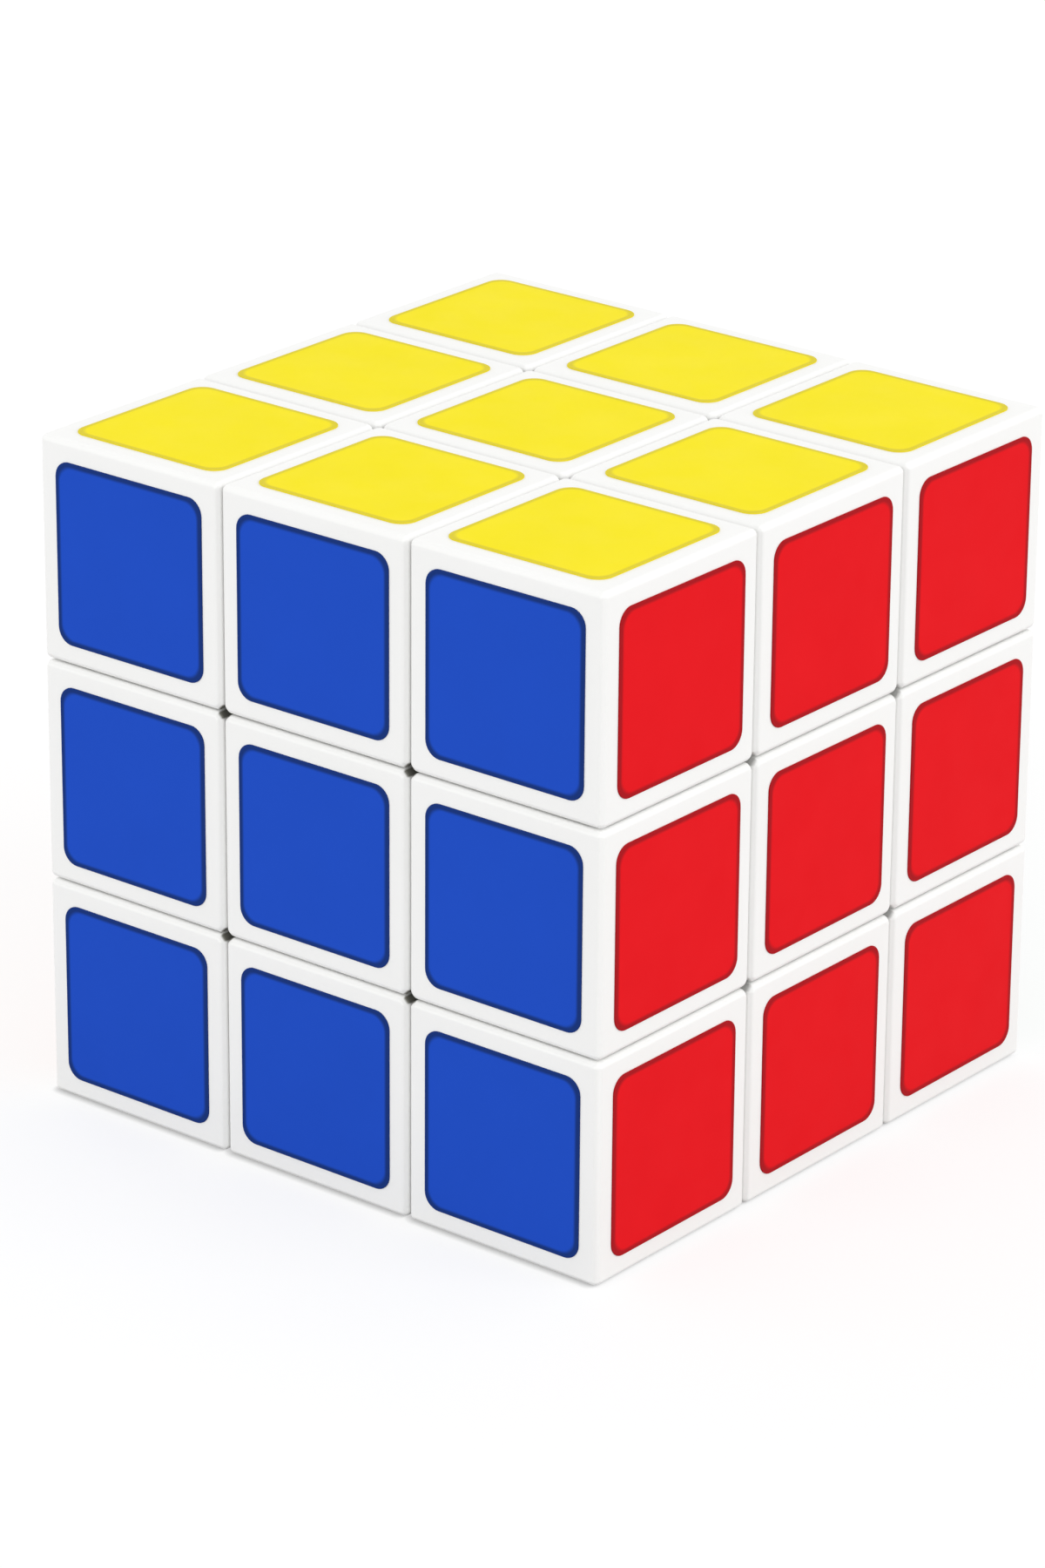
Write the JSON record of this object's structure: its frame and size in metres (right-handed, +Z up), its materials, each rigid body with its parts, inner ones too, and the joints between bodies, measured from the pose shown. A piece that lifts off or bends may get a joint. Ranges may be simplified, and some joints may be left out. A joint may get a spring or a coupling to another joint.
{
  "type": "twisty puzzle cube",
  "caption": "White-bodied twisty puzzle cube with rounded colour stickers, sprung centres on a six-armed core and edges and corners that hook under them, so that every face turns.",
  "frame": {"origin": "centre of the core, which is the centre of the cube", "axes": "+Z up through the yellow face, -Y through the blue front face, +X through the red right face"},
  "size_m": [0.057, 0.057, 0.057],
  "materials": {
    "cubie_plastic": "moulded white ABS with a soft gloss",
    "core_plastic": "moulded white nylon, matt",
    "screw_steel": "zinc-plated steel screws",
    "spring_steel": "bright spring steel",
    "sticker_yellow": "glossy vinyl film, yellow",
    "sticker_blue": "glossy vinyl film, blue",
    "sticker_red": "glossy vinyl film, red",
    "sticker_green": "glossy vinyl film, green",
    "sticker_orange": "glossy vinyl film, orange",
    "sticker_black": "glossy vinyl film, black"
  },
  "bodies": {
    "core": {"core": "core_plastic", "core_screws": "screw_steel", "centre_springs": "spring_steel"},
    "face_up": {"centre_up_base": "cubie_plastic", "centre_up_cap": "cubie_plastic"},
    "face_down": {"centre_down_base": "cubie_plastic", "centre_down_cap": "cubie_plastic"},
    "face_front": {"centre_front_base": "cubie_plastic", "centre_front_cap": "cubie_plastic"},
    "face_back": {"centre_back_base": "cubie_plastic", "centre_back_cap": "cubie_plastic"},
    "face_right": {"centre_right_base": "cubie_plastic", "centre_right_cap": "cubie_plastic"},
    "face_left": {"centre_left_base": "cubie_plastic", "centre_left_cap": "cubie_plastic"},
    "edge_up_front": {"edge_up_front_shell": "cubie_plastic", "edge_up_front_foot": "cubie_plastic"},
    "edge_up_back": {"edge_up_back_shell": "cubie_plastic", "edge_up_back_foot": "cubie_plastic"},
    "edge_down_front": {"edge_down_front_shell": "cubie_plastic", "edge_down_front_foot": "cubie_plastic"},
    "edge_down_back": {"edge_down_back_shell": "cubie_plastic", "edge_down_back_foot": "cubie_plastic"},
    "edge_up_right": {"edge_up_right_shell": "cubie_plastic", "edge_up_right_foot": "cubie_plastic"},
    "edge_up_left": {"edge_up_left_shell": "cubie_plastic", "edge_up_left_foot": "cubie_plastic"},
    "edge_down_right": {"edge_down_right_shell": "cubie_plastic", "edge_down_right_foot": "cubie_plastic"},
    "edge_down_left": {"edge_down_left_shell": "cubie_plastic", "edge_down_left_foot": "cubie_plastic"},
    "edge_front_right": {"edge_front_right_shell": "cubie_plastic", "edge_front_right_foot": "cubie_plastic"},
    "edge_front_left": {"edge_front_left_shell": "cubie_plastic", "edge_front_left_foot": "cubie_plastic"},
    "edge_back_right": {"edge_back_right_shell": "cubie_plastic", "edge_back_right_foot": "cubie_plastic"},
    "edge_back_left": {"edge_back_left_shell": "cubie_plastic", "edge_back_left_foot": "cubie_plastic"},
    "corner_up_front_right": {"corner_up_front_right_shell": "cubie_plastic", "corner_up_front_right_foot": "cubie_plastic"},
    "corner_up_front_left": {"corner_up_front_left_shell": "cubie_plastic", "corner_up_front_left_foot": "cubie_plastic"},
    "corner_up_back_right": {"corner_up_back_right_shell": "cubie_plastic", "corner_up_back_right_foot": "cubie_plastic"},
    "corner_up_back_left": {"corner_up_back_left_shell": "cubie_plastic", "corner_up_back_left_foot": "cubie_plastic"},
    "corner_down_front_right": {"corner_down_front_right_shell": "cubie_plastic", "corner_down_front_right_foot": "cubie_plastic"},
    "corner_down_front_left": {"corner_down_front_left_shell": "cubie_plastic", "corner_down_front_left_foot": "cubie_plastic"},
    "corner_down_back_right": {"corner_down_back_right_shell": "cubie_plastic", "corner_down_back_right_foot": "cubie_plastic"},
    "corner_down_back_left": {"corner_down_back_left_shell": "cubie_plastic", "corner_down_back_left_foot": "cubie_plastic"}
  },
  "joints": [
    {"name": "up_face_turn", "type": "hinge", "parent": "core", "child": "face_up", "pos_m": [0, 0, 0], "axis": [0, 0, 1], "continuous": true},
    {"name": "down_face_turn", "type": "hinge", "parent": "core", "child": "face_down", "pos_m": [0, 0, 0], "axis": [0, 0, 1], "continuous": true},
    {"name": "front_face_turn", "type": "hinge", "parent": "core", "child": "face_front", "pos_m": [0, 0, 0], "axis": [0, 1, 0], "continuous": true},
    {"name": "back_face_turn", "type": "hinge", "parent": "core", "child": "face_back", "pos_m": [0, 0, 0], "axis": [0, 1, 0], "continuous": true},
    {"name": "right_face_turn", "type": "hinge", "parent": "core", "child": "face_right", "pos_m": [0, 0, 0], "axis": [1, 0, 0], "continuous": true},
    {"name": "left_face_turn", "type": "hinge", "parent": "core", "child": "face_left", "pos_m": [0, 0, 0], "axis": [1, 0, 0], "continuous": true},
    {"name": "edge_up_front_turn", "type": "hinge", "parent": "face_up", "child": "edge_up_front", "pos_m": [0, 0, 0], "axis": [0, 1, 0], "continuous": true},
    {"name": "edge_up_back_turn", "type": "hinge", "parent": "face_up", "child": "edge_up_back", "pos_m": [0, 0, 0], "axis": [0, 1, 0], "continuous": true},
    {"name": "edge_down_front_turn", "type": "hinge", "parent": "face_down", "child": "edge_down_front", "pos_m": [0, 0, 0], "axis": [0, 1, 0], "continuous": true},
    {"name": "edge_down_back_turn", "type": "hinge", "parent": "face_down", "child": "edge_down_back", "pos_m": [0, 0, 0], "axis": [0, 1, 0], "continuous": true},
    {"name": "edge_up_right_turn", "type": "hinge", "parent": "face_right", "child": "edge_up_right", "pos_m": [0, 0, 0], "axis": [0, 0, 1], "continuous": true},
    {"name": "edge_up_left_turn", "type": "hinge", "parent": "face_left", "child": "edge_up_left", "pos_m": [0, 0, 0], "axis": [0, 0, 1], "continuous": true},
    {"name": "edge_down_right_turn", "type": "hinge", "parent": "face_right", "child": "edge_down_right", "pos_m": [0, 0, 0], "axis": [0, 0, 1], "continuous": true},
    {"name": "edge_down_left_turn", "type": "hinge", "parent": "face_left", "child": "edge_down_left", "pos_m": [0, 0, 0], "axis": [0, 0, 1], "continuous": true},
    {"name": "edge_front_right_turn", "type": "hinge", "parent": "face_front", "child": "edge_front_right", "pos_m": [0, 0, 0], "axis": [1, 0, 0], "continuous": true},
    {"name": "edge_front_left_turn", "type": "hinge", "parent": "face_front", "child": "edge_front_left", "pos_m": [0, 0, 0], "axis": [1, 0, 0], "continuous": true},
    {"name": "edge_back_right_turn", "type": "hinge", "parent": "face_back", "child": "edge_back_right", "pos_m": [0, 0, 0], "axis": [1, 0, 0], "continuous": true},
    {"name": "edge_back_left_turn", "type": "hinge", "parent": "face_back", "child": "edge_back_left", "pos_m": [0, 0, 0], "axis": [1, 0, 0], "continuous": true},
    {"name": "corner_up_front_right_turn", "type": "hinge", "parent": "edge_up_front", "child": "corner_up_front_right", "pos_m": [0, 0, 0], "axis": [1, 0, 0], "continuous": true},
    {"name": "corner_up_front_left_turn", "type": "hinge", "parent": "edge_up_front", "child": "corner_up_front_left", "pos_m": [0, 0, 0], "axis": [1, 0, 0], "continuous": true},
    {"name": "corner_up_back_right_turn", "type": "hinge", "parent": "edge_up_back", "child": "corner_up_back_right", "pos_m": [0, 0, 0], "axis": [1, 0, 0], "continuous": true},
    {"name": "corner_up_back_left_turn", "type": "hinge", "parent": "edge_up_back", "child": "corner_up_back_left", "pos_m": [0, 0, 0], "axis": [1, 0, 0], "continuous": true},
    {"name": "corner_down_front_right_turn", "type": "hinge", "parent": "edge_down_front", "child": "corner_down_front_right", "pos_m": [0, 0, 0], "axis": [1, 0, 0], "continuous": true},
    {"name": "corner_down_front_left_turn", "type": "hinge", "parent": "edge_down_front", "child": "corner_down_front_left", "pos_m": [0, 0, 0], "axis": [1, 0, 0], "continuous": true},
    {"name": "corner_down_back_right_turn", "type": "hinge", "parent": "edge_down_back", "child": "corner_down_back_right", "pos_m": [0, 0, 0], "axis": [1, 0, 0], "continuous": true},
    {"name": "corner_down_back_left_turn", "type": "hinge", "parent": "edge_down_back", "child": "corner_down_back_left", "pos_m": [0, 0, 0], "axis": [1, 0, 0], "continuous": true}
  ],
  "couplings": [
    {"joint": "edge_up_front_turn", "follows": "front_face_turn", "ratio": 1},
    {"joint": "edge_up_back_turn", "follows": "back_face_turn", "ratio": 1},
    {"joint": "edge_down_front_turn", "follows": "front_face_turn", "ratio": 1},
    {"joint": "edge_down_back_turn", "follows": "back_face_turn", "ratio": 1},
    {"joint": "edge_up_right_turn", "follows": "up_face_turn", "ratio": 1},
    {"joint": "edge_up_left_turn", "follows": "up_face_turn", "ratio": 1},
    {"joint": "edge_down_right_turn", "follows": "down_face_turn", "ratio": 1},
    {"joint": "edge_down_left_turn", "follows": "down_face_turn", "ratio": 1},
    {"joint": "edge_front_right_turn", "follows": "right_face_turn", "ratio": 1},
    {"joint": "edge_front_left_turn", "follows": "left_face_turn", "ratio": 1},
    {"joint": "edge_back_right_turn", "follows": "right_face_turn", "ratio": 1},
    {"joint": "edge_back_left_turn", "follows": "left_face_turn", "ratio": 1},
    {"joint": "corner_up_front_right_turn", "follows": "right_face_turn", "ratio": 1},
    {"joint": "corner_up_front_left_turn", "follows": "left_face_turn", "ratio": 1},
    {"joint": "corner_up_back_right_turn", "follows": "right_face_turn", "ratio": 1},
    {"joint": "corner_up_back_left_turn", "follows": "left_face_turn", "ratio": 1},
    {"joint": "corner_down_front_right_turn", "follows": "right_face_turn", "ratio": 1},
    {"joint": "corner_down_front_left_turn", "follows": "left_face_turn", "ratio": 1},
    {"joint": "corner_down_back_right_turn", "follows": "right_face_turn", "ratio": 1},
    {"joint": "corner_down_back_left_turn", "follows": "left_face_turn", "ratio": 1}
  ]
}
